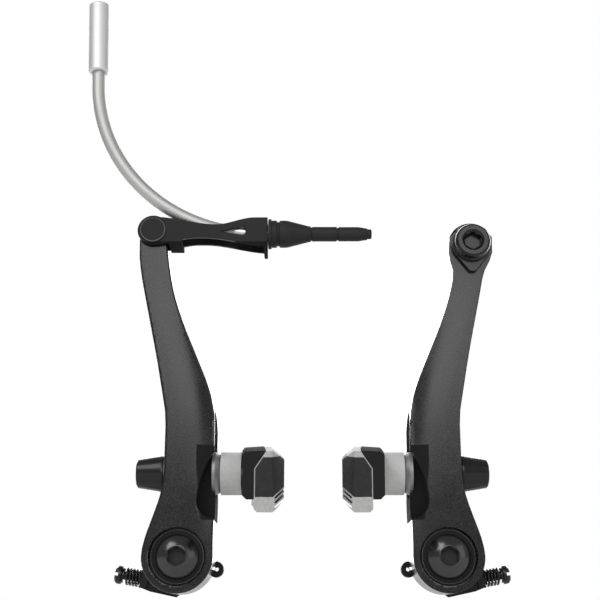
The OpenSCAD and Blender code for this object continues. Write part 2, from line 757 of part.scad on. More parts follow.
module noodle_tip() {
    color(GREY) on_noodle_axis() {
        bend(tip_r, tube_r + thread_gap, 0, 8.5);
        difference() {
            union() {
                x_rod(tip_flange_r, bend_x, tip_face_x);
                x_rod(nose_r, tip_face_x - cut, tip_face_x + nose_l);
            }
            x_rod(cable_r + 0.2, bend_x - cut, tip_face_x + nose_l + cut);
        }
    }
}

// Profile of the boot: [distance from the link, radius], a row for each ring and notch
function boot_profile() = let (b = boot_d / 2, s = boot_d * 0.268, l = boot_l) [
    [0, b + 0.45], [1, b + 0.45], [1.05, b], [2.6, b], [2.9, b - 0.5], [3.4, b - 0.5], [3.7, b - 0.05],
    [5.2, b], [6.2, b - 0.1], [8, b - 0.55], [12.9, s + 0.22], [13.5, s + 0.15], [13.6, s - 0.2],
    [13.9, s - 0.2], [14, s], [21.8, s], [21.9, s - 0.3], [22.4, s - 0.3], [22.5, s - 0.05],
    [28.8, s - 0.05], [l - 1.4, s - 0.5], [l - 1.35, s - 0.75], [l - 0.2, s - 0.8], [l, s - 0.95]];

module boot() {
    color(RUBBER) on_noodle_axis() translate([boot_x, 0, 0]) rotate([0, 90, 0]) difference() {
        rotate_extrude() polygon(concat([[0, 0]], [for (p = boot_profile()) [p[1], p[0]]], [[0, boot_l]]));
        translate([0, 0, -cut]) cylinder(r = nose_r + 0.05, h = tip_face_x + nose_l - boot_x + 0.3 + cut);
        translate([0, 0, -cut]) cylinder(r = cable_r, h = boot_l + 2 * cut);
    }
}

module at_cable_bolt() {
    on_side("right") translate([-top_lean, 0, cable_bolt_height]) children();
}

// Round clamp plate with the pointed tail that keeps it from turning
module cable_clamp_plate() {
    r = clamp_d / 2;
    tail = [[-0.82 * r, -0.57 * r], [-1.1, -r - 2.6], [0, -r - 2.9], [1.1, -r - 2.6], [0.82 * r, -0.57 * r]];
    color(DARK) at_cable_bolt() plate_xz(front_y - clamp_t, front_y) difference() {
        union() {
            circle(r);
            polygon(tail);
        }
        circle(bolt_r + 0.2);
    }
}

module cable_bolt() {
    r = cable_head_d / 2;
    seat = front_y - clamp_t;
    h = cable_head_h;
    head = [[0, 0], [r + 0.4, 0], [r + 0.4, 0.8], [r, 1.2], [r - 0.25, 1.7], [r, 2.2],
        [r - 0.35, h - 0.5], [r - 0.9, h], [0, h]];
    color(DARK) at_cable_bolt() difference() {
        union() {
            translate([0, seat, 0]) rotate([90, 0, 0]) rotate_extrude() polygon(head);
            y_rod(bolt_r, seat - cut, neck_back_y + 1.2);
        }
        y_socket(socket_af, seat - h, 3);
    }
}

for (side = SIDES) {
    arm(side);
    pivot_bush(side);
    pivot_washer(side);
    mounting_bolt(side);
    stopper_plate(side);
    spring_holder(side);
    return_spring(side);
    tension_screw(side);
    tension_spring(side);
    shoe_stud(side);
    shoe_backing(side);
    brake_pad(side);
    spacer_washer(side);
    inner_dome_washer(side);
    outer_dome_washer(side);
    outer_seat_washer(side);
    shoe_nut(side);
}
link();
link_pin();
noodle_tube();
noodle_ferrule();
noodle_tip();
boot();
cable_clamp_plate();
cable_bolt();
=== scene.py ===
"""Finishes, softened edges and a plain studio for the linear-pull bicycle brake."""

import json
import math

import bmesh
import bpy
from bpy.props import FloatProperty, FloatVectorProperty, IntProperty, PointerProperty
from mathutils import Matrix, Vector


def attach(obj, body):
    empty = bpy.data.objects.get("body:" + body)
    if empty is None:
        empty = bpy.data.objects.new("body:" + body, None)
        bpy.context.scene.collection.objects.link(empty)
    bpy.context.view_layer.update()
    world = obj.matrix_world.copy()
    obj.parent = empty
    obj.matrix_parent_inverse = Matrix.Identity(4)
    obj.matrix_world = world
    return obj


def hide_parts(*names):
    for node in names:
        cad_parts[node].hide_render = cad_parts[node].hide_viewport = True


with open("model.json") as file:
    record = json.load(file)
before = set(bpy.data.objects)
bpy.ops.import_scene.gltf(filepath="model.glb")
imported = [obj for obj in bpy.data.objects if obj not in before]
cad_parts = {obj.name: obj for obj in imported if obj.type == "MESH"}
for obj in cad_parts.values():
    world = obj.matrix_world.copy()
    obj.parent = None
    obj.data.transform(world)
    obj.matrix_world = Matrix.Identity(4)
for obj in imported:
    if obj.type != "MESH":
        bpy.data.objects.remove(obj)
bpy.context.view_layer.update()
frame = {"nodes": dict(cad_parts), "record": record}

bl_info = {
    "name": "Linear-pull brake",
    "version": (1, 0, 0),
    "blender": (4, 5, 0),
    "location": "View3D > Sidebar > Brake",
    "description": "Dresses the packed brake with its finishes and sets up a plain studio",
    "category": "Object",
}

MM = 0.001
SIDES = ("left", "right")
NODES = frame["nodes"]
BODIES = frame["record"]["behaviour"]["bodies"]
BODY_OF = {node: body for body, members in BODIES.items() for node in members}

# Places in the brake's frame, on its left side
HALF_SPACING = 40 * MM
PIVOT_AXIS = (-HALF_SPACING, 0)
PIN_AXIS = (-50.4 * MM, 100.9 * MM)
LINK_TAB_Z = 97.1 * MM
STUD = (-40 * MM, -12.5 * MM, 25.2 * MM)

# The tension screw and its coil, in the arm's own frame with the pivot at the origin
SCREW_HEAD = (-20.4 * MM, -3.3 * MM, -4.3 * MM)
SCREW_TILT = math.radians(10)
SCREW_WIRE_R = 0.38 * MM
SCREW_COIL_R = 2.42 * MM
SCREW_COIL_START = 3.28 * MM
SCREW_COIL_RUN = 4.44 * MM
SCREW_COIL_TURNS = 4.5
SCREW_COIL_STEPS = 18  # points a turn

# The return spring in the same frame; its two ends are points in millimetres
SPRING_WIRE_R = 0.7 * MM
SPRING_R = 7 * MM
SPRING_DEEP_Y = -9.8 * MM
SPRING_RISE = 3.645 * MM
SPRING_TURNS = 2.25
SPRING_STEPS = 20  # points a turn
SPRING_LONG_LEG_YZ = ((-9, 44), (-6.5, 44), (-6, 43), (-6, 30), (-6, 15), (-9.8, 3))
SPRING_SHORT_LEG_XY = ((-0.6, -5.655), (-0.6, -4.955), (-0.1, -3), (-0.1, -0.5))

# The arm in the same frame, with X inward: the milled scallop, then the middle line's two bends,
# each as how far it goes inward and the heights between which it does so
SCALLOP_X = 5 * MM
SCALLOP_Y = -20.6 * MM
SCALLOP_Z = (10.6 * MM, 33 * MM)
ARM_SHIFT = (2.8 * MM, 0, 22 * MM)
ARM_LEAN = (-13.2 * MM, 38 * MM, 100 * MM)
ARM_TOP = 100.9 * MM

# The fall of the arm's front, past the middle line: where it starts, over what width it steepens and
# how much further it goes on, the heights where it fades in and out, how deep the rounded outline
# moves with it, and the net that the front is cut into
SLOPE_FROM = -4 * MM
SLOPE_WIDTH = 9 * MM
SLOPE_FLANK = 2 * MM
SLOPE_FADE_IN = (-12 * MM, 50 * MM)
SLOPE_FADE_OUT = (66 * MM, 90 * MM)
SLOPE_DEPTH = 1 * MM
NET_MESH = 0.75 * MM
NET_X = (-15 * MM, 12 * MM)
NET_Z = (-12 * MM, 90 * MM)

# The shoe in its own frame, with X into the shoe; heights count from the rim's arc
SHOE_TURN = (math.radians(8), 0, math.radians(3))
SHOE_DROP = 0.4 * MM
RIM_R = 280 * MM
BACKING_X = 18.4 * MM
BACKING_T = 3.4 * MM
BACKING_WEDGE = (3.3 * MM, 4.9 * MM)
BACKING_WEDGE_FROM = 3.7 * MM
LEAD_IN_FROM = 8.7 * MM
LEAD_IN_RISE = 0.7
PAD_GREY_BELOW = -4.3 * MM
PAD_GREY_ABOVE = 6.9 * MM
PAD_SEAM = 0.28 * MM
PAD_WOBBLE = 0.2 * MM

# Which edges make the arm's outline: how flat the front's normal is, how upright the wall's, and how
# far outward the wall faces, as a lever about the middle line
FRONT_NORMAL = 0.9
WALL_NORMAL = 0.3
OUTWARD = 1 * MM

# Radii where a ringed finish changes: past PIN_RIM and WASHER_RIM starts a painted edge highlight, and inside
# SOCKET_R lies the painted shade of the bolt's socket
PIN_RIM = 3.72 * MM
WASHER_RIM = 7.72 * MM
SOCKET_R = 2.95 * MM

# Widths over which one finish passes into the next
PAINTED_RING_AND_MATT_EDGE = 0.08 * MM
MILLED_EDGE = 0.1 * MM
PAD_BAND_EDGE = 0.12 * MM
PAD_SEAM_EDGE = 0.1 * MM

# Patterns: how many cells of the fine grain lie across one of the broad clouds, the clouds' detail, the
# grain's share in the tone, how far the tone varies, and how far each pattern moves the roughness
CLOUD_CELLS = 25
CLOUD_DETAIL = 2.0
GRAIN_SHARE = 0.6
TONE_SPREAD = 0.12
CLOUD_GLOSS = 0.12
GRAIN_GLOSS = 0.06
RING_GRAIN = 5000
RING_GRAIN_DEPTH = 0.006 * MM

# The arm's anodising: cells per metre, the flakes' contrast and tones, and the milled seat: the tone of its
# painted shade and its matt roughness
ARM_GRAIN = 3600
ARM_GRAIN_DEPTH = 0.005 * MM
ARM_CLOUDS = 160
FLAKE_CONTRAST = 6.0
FLAKE_TONES = (0.7, 3.2)
ARM_CLOUD_GLOSS = 0.08
ARM_GRAIN_GLOSS = 0.1
SCALLOP_SHADE_TONE = 0.45
MILLED_MATT = 0.68

# The pad's rubber: cells per metre of its three patterns, their tones, and its roughness
PAD_MOTTLES = 1600
PAD_WEAR = 420
PAD_WAVES = 900
PAD_DARK_TONES = (0.4, 1.9)
PAD_PALE_SPREAD = 0.3
PAD_RIM_GREY = 0.8
PAD_ROUGHNESS = 0.58
PAD_GLOSS = 0.12
PAD_GRAIN_DEPTH = 0.03 * MM

# Merging and shading: the welding distance, how level a flat front is, and the angles between faces
# under which they count as one flat, under which they shade as one, and past which an edge is softened
WELD = 0.002 * MM
LEVEL = 0.01 * MM
NET_WELD = 0.02 * MM
FLAT_ANGLE = math.radians(0.6)
SMOOTH_ANGLE = math.radians(32)
WIRE_SMOOTH_ANGLE = math.radians(50)
SOFTEN_ANGLE = math.radians(38)
CRISP = 0.0  # the width of edges that stay sharp

# Studio: each lamp's name, place, target, width and height in metres, its power, and whether it only
# shows in reflections
LAMPS = (
    ("key", (-1.0, -1.45, 1.5), (0, 0, 0.08), (1.1, 1.1), 19.4, False),
    ("fill", (1.4, -1.0, 0.52), (0, 0, 0.08), (1.0, 1.4), 4.8, False),
    ("card", (0, -0.85, 0.38), (0, 0, 0.06), (0.5, 0.42), 2.7, True),
    ("back", (0, 0.9, 0.25), (0, 0, 0.06), (1.6, 1.2), 28, True),
)
FLOOR_R = 1.5
FLOOR_COLOUR = (0.92, 0.92, 0.92)
FLOOR_ROUGHNESS = 0.9
SENSOR_WIDTH = 36.0
WHITE = (1, 1, 1, 1)


# Settings that a user would change

def colour_setting(name, description, default):
    return FloatVectorProperty(
        name=name, description=description, subtype="COLOR", size=3, min=0, max=1, default=default)


def length_setting(name, description, default):
    return FloatProperty(name=name, description=description, unit="LENGTH", default=default)


class BrakeFinish(bpy.types.PropertyGroup):
    """Colours and roughness of the brake's finishes."""

    arm_colour: colour_setting("Arm colour", "Colour of the anodised arms", (0.0075, 0.0075, 0.0078))
    arm_roughness: FloatProperty(
        name="Arm roughness", description="Roughness of the anodised arms", min=0, max=1, default=0.22)
    bolt_colour: colour_setting(
        "Bolt colour", "Colour of the blackened bolts, nuts and screws", (0.007, 0.007, 0.007))
    # Painted highlight: the lighter colour painted on the rims of the washers and the link's pin
    edge_highlight_colour: colour_setting(
        "Edge highlight colour", "Colour of the painted highlights on the edges of the washers and the link's pin", (0.13, 0.13, 0.13))
    link_colour: colour_setting("Link colour", "Colour of the coated link", (0.008, 0.008, 0.008))
    plastic_colour: colour_setting("Plastic colour", "Colour of the moulded plastic", (0.007, 0.007, 0.007))
    rubber_colour: colour_setting(
        "Rubber colour", "Colour of the dark rubber of boot and pads", (0.018, 0.018, 0.018))
    # Painted highlight: the grey painted along the pad's chamfers and its seam to the backing
    pad_highlight_grey: colour_setting(
        "Pad highlight grey", "Colour of the grey painted as highlights along the pad's edges", (0.37, 0.37, 0.365))
    spacer_colour: colour_setting("Spacer colour", "Colour of the blasted spacers", (0.46, 0.46, 0.455))
    washer_colour: colour_setting("Washer colour", "Colour of the tumbled washers", (0.22, 0.22, 0.22))
    noodle_colour: colour_setting("Noodle colour", "Colour of the noodle's satin tube", (0.44, 0.44, 0.43))
    ferrule_colour: colour_setting("Ferrule colour", "Colour of the turned ferrule", (0.6, 0.6, 0.6))
    steel_colour: colour_setting("Steel colour", "Colour of the plated and drawn steel", (0.48, 0.48, 0.48))


class BrakeEdges(bpy.types.PropertyGroup):
    """Widths of the softened edges and the fall of the arms' fronts."""

    arm: length_setting(
        "Arm edges", "Widest rounding of the arms' outline; its shortest edges keep it narrower", 1.4 * MM)
    arm_segments: IntProperty(
        name="Arm edge segments", description="Number of faces across the arms' rounded outline",
        min=1, max=8, default=6)
    arm_slope: FloatProperty(
        name="Arm slope", description="How steeply the arms' fronts fall to their inner edges", default=0.28)
    small: length_setting(
        "Small part edges", "Width of the softened edges of bolts, washers and nuts", 0.16 * MM)
    moulded: length_setting(
        "Moulded edges", "Width of the softened edges of plastic and rubber", 0.35 * MM)
    segments: IntProperty(
        name="Edge segments", description="Number of faces across a softened edge", min=1, max=6, default=2)


class BrakeStudio(bpy.types.PropertyGroup):
    """Camera, surrounding light and floor."""

    lens: FloatProperty(
        name="Lens", description="Focal length in millimetres on a 36 mm sensor", min=10, max=200,
        default=67.2)
    look_up: FloatProperty(
        name="Look up", description="Angle at which the camera looks up", subtype="ANGLE",
        default=math.radians(16))
    distance: length_setting("Distance", "Distance from the camera to the point it looks at", 0.350)
    aim: FloatVectorProperty(
        name="Aim", description="Point that the camera looks at", subtype="TRANSLATION", size=3,
        default=(-3.8 * MM, -21 * MM, 78.2 * MM))
    surround: FloatProperty(
        name="Surround", description="Brightness of the light from all around", min=0, max=2, default=0.8)
    reflected: FloatProperty(
        name="Reflected", description="Brightness of the surround in glossy surfaces", min=0, max=2,
        default=0.35)
    floor_drop: length_setting("Floor drop", "Distance of the floor below the pivots", 0.030)


# Shader maths

class Socket:
    """An output of a node that takes part in Python arithmetic."""

    def __init__(self, maker, link):
        self.maker = maker
        self.link = link

    def output(self, key):
        """Another output of the same node."""
        return Socket(self.maker, self.link.node.outputs[key])

    def maths(self, operation, *values):
        return self.maker.make("ShaderNodeMath", {"operation": operation}, dict(enumerate(values)))

    def __add__(self, other):
        return self.maths("ADD", self, other)

    def __sub__(self, other):
        return self.maths("SUBTRACT", self, other)

    def __rsub__(self, other):
        return self.maths("SUBTRACT", other, self)

    def __mul__(self, other):
        return self.maths("MULTIPLY", self, other)

    def __truediv__(self, other):
        return self.maths("DIVIDE", self, other)

    def __abs__(self):
        return self.maths("ABSOLUTE", self)

    __radd__ = __add__
    __rmul__ = __mul__

    def root(self):
        return self.maths("SQRT", self)

    def least(self, other):
        return self.maths("MINIMUM", self, other)

    def most(self, other):
        return self.maths("MAXIMUM", self, other)

    def clamped(self):
        return self.most(0.0).least(1.0)

    def below(self, limit, width):
        """1 where the value is under the limit, 0 above it, with a ramp as wide as given."""
        return ((limit - self) / width + 0.5).clamped()

    def above(self, limit, width):
        """1 where the value is over the limit, 0 below it, with a ramp as wide as given."""
        return ((self - limit) / width + 0.5).clamped()


class NodeMaker:
    """Adds nodes to one node tree."""

    def __init__(self, tree):
        self.tree = tree

    def make(self, kind, settings=None, inputs=None, output=0):
        """Adds a node: its settings first, then the values or links of its sockets."""
        node = self.tree.nodes.new(kind)
        for name, value in (settings or {}).items():
            setattr(node, name, value)
        for key, value in (inputs or {}).items():
            self.feed(node.inputs[key], value)
        return Socket(self, node.outputs[output])

    def feed(self, socket, value):
        if isinstance(value, Socket):
            self.tree.links.new(value.link, socket)
        else:
            socket.default_value = value


class Finish(NodeMaker):
    """A procedural material on Object coordinates, made node by node."""

    def __init__(self, name, colour, roughness, metallic=0.0, **constants):
        self.material = bpy.data.materials.new(name)
        self.material.use_nodes = True
        super().__init__(self.material.node_tree)
        self.set("Base Color", (*colour, 1.0))
        self.set("Roughness", roughness)
        self.set("Metallic", metallic)
        for socket, value in constants.items():
            self.set(socket.replace("_", " "), value)
        self.place = self.make("ShaderNodeTexCoord", output="Object")

    def set(self, name, value):
        """Feeds a socket of the shader."""
        self.feed(self.tree.nodes["Principled BSDF"].inputs[name], value)

    def noise(self, scale, detail=3.0):
        """Noise from 0 to 1; scale counts its cells per metre."""
        return self.make(
            "ShaderNodeTexNoise", {}, {"Vector": self.place, "Scale": scale, "Detail": detail}, "Fac")

    def mix(self, factor, first, second):
        """A colour between two colours, each a triple or a socket."""
        first, second = [end if isinstance(end, Socket) else (*end, 1.0) for end in (first, second)]
        first_colour, second_colour, result = 6, 7, 2
        return self.make(
            "ShaderNodeMix", {"data_type": "RGBA"},
            {"Factor": factor, first_colour: first, second_colour: second}, result)

    def axes(self, place=None):
        """The X, Y and Z of a place, or else of the surface in the object's own frame."""
        split = self.make("ShaderNodeSeparateXYZ", {}, {"Vector": place or self.place})
        return [split.output(i) for i in range(3)]

    def bump(self, height, distance):
        inputs = {"Height": height, "Distance": distance}
        self.set("Normal", self.make("ShaderNodeBump", inputs=inputs, output="Normal"))


def toned(colour, factor):
    return tuple(channel * factor for channel in colour)


def shades(colour, spread):
    """A darker and a paler shade of a colour."""
    return toned(colour, 1 - spread), toned(colour, 1 + spread)


# Finishes

def grained(name, colour, roughness, grain, depth, metallic=0.0, spread=TONE_SPREAD, matt_below=None,
            **constants):
    """A finish whose tone, roughness and surface vary a little with one grain; fully matt below a height."""
    finish = Finish(name, colour, roughness, metallic, **constants)
    fine = finish.noise(grain)
    broad = finish.noise(grain / CLOUD_CELLS, CLOUD_DETAIL)
    tone = fine * GRAIN_SHARE + broad * (1 - GRAIN_SHARE)
    finish.set("Base Color", finish.mix(tone, *shades(colour, spread)))
    gloss = roughness + (broad - 0.5) * CLOUD_GLOSS + (fine - 0.5) * GRAIN_GLOSS
    if matt_below is not None:
        up = finish.axes()[2]
        gloss = gloss + up.below(matt_below, PAINTED_RING_AND_MATT_EDGE) * (1.0 - roughness)
    finish.set("Roughness", gloss)
    finish.bump(fine, depth)
    return finish.material


def ringed(name, colour, roughness, axis, radius, outer_colour, rougher=0.2, **constants):
    """A round part's finish that changes past a radius about an axis, its X and Z on the left side."""
    finish = Finish(name, colour, roughness, **constants)
    x, y, z = finish.axes()
    across = abs(x) + axis[0]
    up = z - axis[1]
    outside = (across * across + up * up).root().above(radius, PAINTED_RING_AND_MATT_EDGE)
    fine = finish.noise(RING_GRAIN)
    inner = finish.mix(fine, *shades(colour, TONE_SPREAD))
    finish.set("Base Color", finish.mix(outside, inner, outer_colour))
    finish.set("Roughness", roughness + (fine - 0.5) * GRAIN_GLOSS + outside * rougher)
    finish.bump(fine, RING_GRAIN_DEPTH)
    return finish.material


def arm_finish(look):
    """Black anodising with bright flakes in its grain, and the matt seat that was milled into it, its colour
    darkened as painted shade of the recess.
    """
    finish = Finish("arm_anodised", look.arm_colour, look.arm_roughness, Specular_IOR_Level=0.32)
    x, y, z = finish.axes()
    inward = HALF_SPACING - abs(x)
    milled = inward.above(SCALLOP_X, MILLED_EDGE) * y.above(SCALLOP_Y, MILLED_EDGE)
    milled = milled * z.above(SCALLOP_Z[0], MILLED_EDGE) * z.below(SCALLOP_Z[1], MILLED_EDGE)
    fine, broad = finish.noise(ARM_GRAIN), finish.noise(ARM_CLOUDS, CLOUD_DETAIL)
    flakes = ((fine - 0.5) * FLAKE_CONTRAST + (broad - 0.5)).clamped()
    cast = finish.mix(flakes, *[toned(look.arm_colour, tone) for tone in FLAKE_TONES])
    # Painted shade: the milled seat's colour is darkened, standing in for the shade inside the recess
    finish.set("Base Color", finish.mix(milled, cast, toned(look.arm_colour, SCALLOP_SHADE_TONE)))
    gloss = look.arm_roughness + (broad - 0.5) * ARM_CLOUD_GLOSS + (fine - 0.5) * ARM_GRAIN_GLOSS
    finish.set("Roughness", gloss + milled * MILLED_MATT)
    finish.bump(fine, ARM_GRAIN_DEPTH)
    return finish.material


def pad_finish(look):
    """Dark rubber with grey painted along the bottom, the top and the seam to the backing, as highlights
    where the pad's chamfers and edges catch light.
    """
    finish = Finish("pad_painted_highlights", look.rubber_colour, PAD_ROUGHNESS, Specular_IOR_Level=0.2)
    x, y, z = finish.axes()
    left = finish.make("ShaderNodeCombineXYZ", {}, {0: 0.0 - abs(x), 1: y, 2: z})
    shoe = finish.make("ShaderNodeMapping", {"vector_type": "TEXTURE"}, {
        "Vector": left, "Location": (STUD[0] + BACKING_X, STUD[1], STUD[2]), "Rotation": SHOE_TURN})
    deep, along, up = finish.axes(shoe)
    radius = up + (RIM_R + SHOE_DROP)
    height = (along * along + radius * radius).root() - RIM_R

    run, rise = BACKING_WEDGE
    slant = ((deep - BACKING_T) * rise - (height - BACKING_WEDGE_FROM) * run) / math.hypot(run, rise)
    seam = slant.least(deep - BACKING_T)
    lead_in = (deep - LEAD_IN_FROM).most(0.0) * LEAD_IN_RISE
    wobble = (finish.noise(PAD_WAVES, CLOUD_DETAIL) - 0.5) * PAD_WOBBLE
    # Painted highlights: grey bands on the bottom and top chamfers and a grey line at the seam to the backing
    low = (height + wobble - lead_in).below(PAD_GREY_BELOW, PAD_BAND_EDGE)
    high = (height + wobble).above(PAD_GREY_ABOVE, PAD_BAND_EDGE)
    rim = (seam + wobble * 0.5).below(PAD_SEAM, PAD_SEAM_EDGE)
    grey = low.most(high).most(rim * PAD_RIM_GREY)

    mottled = finish.noise(PAD_MOTTLES, 4.0)
    worn = mottled * 0.5 + finish.noise(PAD_WEAR) * 0.5
    dark = finish.mix(worn, *[toned(look.rubber_colour, tone) for tone in PAD_DARK_TONES])
    pale = finish.mix(mottled, *shades(look.pad_highlight_grey, PAD_PALE_SPREAD))
    finish.set("Base Color", finish.mix(grey, dark, pale))
    finish.set("Roughness", PAD_ROUGHNESS + mottled * PAD_GLOSS)
    finish.bump(mottled, PAD_GRAIN_DEPTH)
    return finish.material


def build_finishes(look):
    """Every material of the brake by its short name; grain counts its cells per metre."""
    return {
        "arm": arm_finish(look),
        "bolt": grained(
            "bolt_black", look.bolt_colour, roughness=0.24, grain=5000, depth=0.005 * MM,
            Specular_IOR_Level=0.3),
        # Painted shade: inside the socket's radius the bolt head's colour is darkened to a third
        "head": ringed(
            "head_black_shaded_socket", toned(look.bolt_colour, 0.3), roughness=0.75, axis=PIVOT_AXIS, radius=SOCKET_R,
            outer_colour=look.bolt_colour, rougher=-0.53, Specular_IOR_Level=0.7),
        "link": grained(
            "link_coating", look.link_colour, roughness=0.4, grain=5000, depth=0.01 * MM,
            matt_below=LINK_TAB_Z, Specular_IOR_Level=0.12),
        # Painted highlight: a lighter ring past WASHER_RIM on the washer's edge
        "flange": ringed(
            "flange_black", toned(look.bolt_colour, 0.6), roughness=0.34, axis=PIVOT_AXIS, radius=WASHER_RIM,
            outer_colour=look.edge_highlight_colour, Specular_IOR_Level=0.15),
        # Painted highlight: a lighter ring past PIN_RIM on the pin's edge
        "pin": ringed(
            "pin_black", look.link_colour, roughness=0.4, axis=PIN_AXIS, radius=PIN_RIM,
            outer_colour=look.edge_highlight_colour, Specular_IOR_Level=0.12),
        "plastic": grained(
            "plastic_moulded", look.plastic_colour, roughness=0.5, grain=6000, depth=0.012 * MM,
            Specular_IOR_Level=0.2),
        "backing": grained(
            "backing_moulded", look.rubber_colour, roughness=0.9, grain=2600, depth=0.04 * MM, spread=0.3,
            Specular_IOR_Level=0.04),
        "pad": pad_finish(look),
        "rubber": grained(
            "rubber_black", look.rubber_colour, roughness=0.55, grain=4500, depth=0.02 * MM,
            Specular_IOR_Level=0.15),
        "bush": grained(
            "bush_steel", look.steel_colour, roughness=0.45, grain=4000, depth=0.004 * MM, metallic=0.9),
        "spacer": grained(
            "spacer_blasted", look.spacer_colour, roughness=0.7, grain=3200, depth=0.04 * MM, spread=0.35),
        "washer": grained(
            "washer_tumbled", look.washer_colour, roughness=0.45, grain=3200, depth=0.03 * MM, metallic=0.5,
            spread=0.4),
        "noodle": grained(
            "noodle_satin", look.noodle_colour, roughness=0.58, grain=3000, depth=0.001 * MM, metallic=0.9,
            spread=0.03),
        "ferrule": grained(
            "ferrule_turned", look.ferrule_colour, roughness=0.56, grain=3000, depth=0.003 * MM,
            metallic=0.85, spread=0.05),
        "spring": grained("spring_black", look.bolt_colour, roughness=0.36, grain=5000, depth=0.006 * MM),
        "steel": grained(
            "steel_plated", look.steel_colour, roughness=0.34, grain=4000, depth=0.004 * MM, metallic=1.0,
            spread=0.1),
    }


# Making pieces

def piece(name, mesh, node, finish):
    """A finished piece in place of a CAD node, riding on that node's body."""
    made = bpy.data.objects.new(name, mesh)
    bpy.context.scene.collection.objects.link(made)
    mesh.materials.append(finish)
    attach(made, BODY_OF[node])
    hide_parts(node)
    return made


def smooth_by_angle(mesh, angle):
    mesh.shade_smooth()
    mesh.set_sharp_from_angle(angle=angle)


def merged(node):
    """A bmesh copy of a CAD node with its loose triangles joined and its flat faces made whole."""
    shape = bmesh.new()
    shape.from_mesh(NODES[node].data)
    bmesh.ops.remove_doubles(shape, verts=shape.verts, dist=WELD)
    bmesh.ops.dissolve_limit(
        shape, angle_limit=FLAT_ANGLE, verts=shape.verts, edges=shape.edges, use_dissolve_boundaries=False)
    return shape


def softened(node, shape, finish, width, segments):
    """A finished piece of the shape that stands in for a CAD node, its sharp edges rounded off by a width."""
    mesh = bpy.data.meshes.new(node + "_finished")
    shape.to_mesh(mesh)
    shape.free()
    smooth_by_angle(mesh, SMOOTH_ANGLE)
    made = piece(node + "_finished", mesh, node, finish)
    if width > 0:
        bevel = made.modifiers.new("softened_edges", "BEVEL")
        bevel.limit_method = "ANGLE"
        bevel.angle_limit = SOFTEN_ANGLE
        bevel.width = width
        bevel.segments = segments
        bevel.harden_normals = True
        bevel.use_clamp_overlap = True
    flats = made.modifiers.new("even_flats", "WEIGHTED_NORMAL")
    flats.keep_sharp = True


def smooth_step(value, start, end):
    part = min(max((value - start) / (end - start), 0), 1)
    return part * part * (3 - 2 * part)


def arm_middle(height):
    """How far inward of the pivot the arm's middle line lies at a height."""
    return sum(bend * smooth_step(height, start, end) for bend, start, end in (ARM_SHIFT, ARM_LEAN))


def is_level(verts, level):
    return all(abs(v.co.y - level) < LEVEL for v in verts)


def is_outline(edge, level):
    """Whether an edge lies between the front at Y level and a wall facing away from the arm's middle."""
    if len(edge.link_faces) != 2 or not is_level(edge.verts, level):
        return False
    flat, wall = sorted(edge.link_faces, key=lambda face: -abs(face.normal.y))
    if abs(flat.normal.y) < FRONT_NORMAL or abs(wall.normal.y) > WALL_NORMAL:
        return False
    middle = (edge.verts[0].co + edge.verts[1].co) / 2
    height = min(max(middle.z, 0), ARM_TOP)
    inward = HALF_SPACING - abs(middle.x)
    across = -math.copysign(1, middle.x) * wall.normal.x * (inward - arm_middle(height))
    in_scallop = inward > SCALLOP_X and SCALLOP_Z[0] < middle.z < SCALLOP_Z[1]
    return across + wall.normal.z * (middle.z - height) > OUTWARD and not in_scallop


def net_cuts():
    """Planes, each a point and a normal, that cut the arms' fronts into a net of small faces."""
    for i in range(round((NET_X[1] - NET_X[0]) / NET_MESH) + 1):
        for side in (-1, 1):
            yield Vector((side * (HALF_SPACING - NET_X[0] - i * NET_MESH), 0, 0)), Vector((1, 0, 0))
    for i in range(round((NET_Z[1] - NET_Z[0]) / NET_MESH) + 1):
        yield Vector((0, 0, NET_Z[0] + i * NET_MESH)), Vector((0, 0, 1))


def slope_front(shape, level, steepness):
    """Lets an arm's flat front at Y level fall softly towards its inner edge."""
    for point, normal in net_cuts():
        faces = [face for face in shape.faces if is_level(face.verts, level)]
        edges = dict.fromkeys(edge for face in faces for edge in face.edges)
        corners = dict.fromkeys(v for face in faces for v in face.verts)
        bmesh.ops.bisect_plane(
            shape, geom=[*faces, *edges, *corners], dist=NET_WELD, plane_co=point, plane_no=normal)
    for v in shape.verts:
        past = HALF_SPACING - abs(v.co.x) - arm_middle(v.co.z) - SLOPE_FROM
        if v.co.y < level + SLOPE_DEPTH and past > 0:
            curved = min(past, SLOPE_WIDTH)
            straight = min(past, SLOPE_WIDTH + SLOPE_FLANK) - curved
            fade = smooth_step(v.co.z, *SLOPE_FADE_IN) * (1 - smooth_step(v.co.z, *SLOPE_FADE_OUT))
            v.co.y += steepness * fade * (curved * curved / (2 * SLOPE_WIDTH) + straight)


def arm_shape(node, edges):
    """An arm's solid with its casting's rounded outline and falling front."""
    shape = merged(node)
    front = min(v.co.y for v in shape.verts)
    outline = [edge for edge in shape.edges if is_outline(edge, front)]
    bmesh.ops.bevel(
        shape, geom=outline, offset=edges.arm, offset_type="OFFSET", segments=edges.arm_segments,
        profile=0.5, affect="EDGES", material=-1, clamp_overlap=True)
    slope_front(shape, front, edges.arm_slope)
    return shape


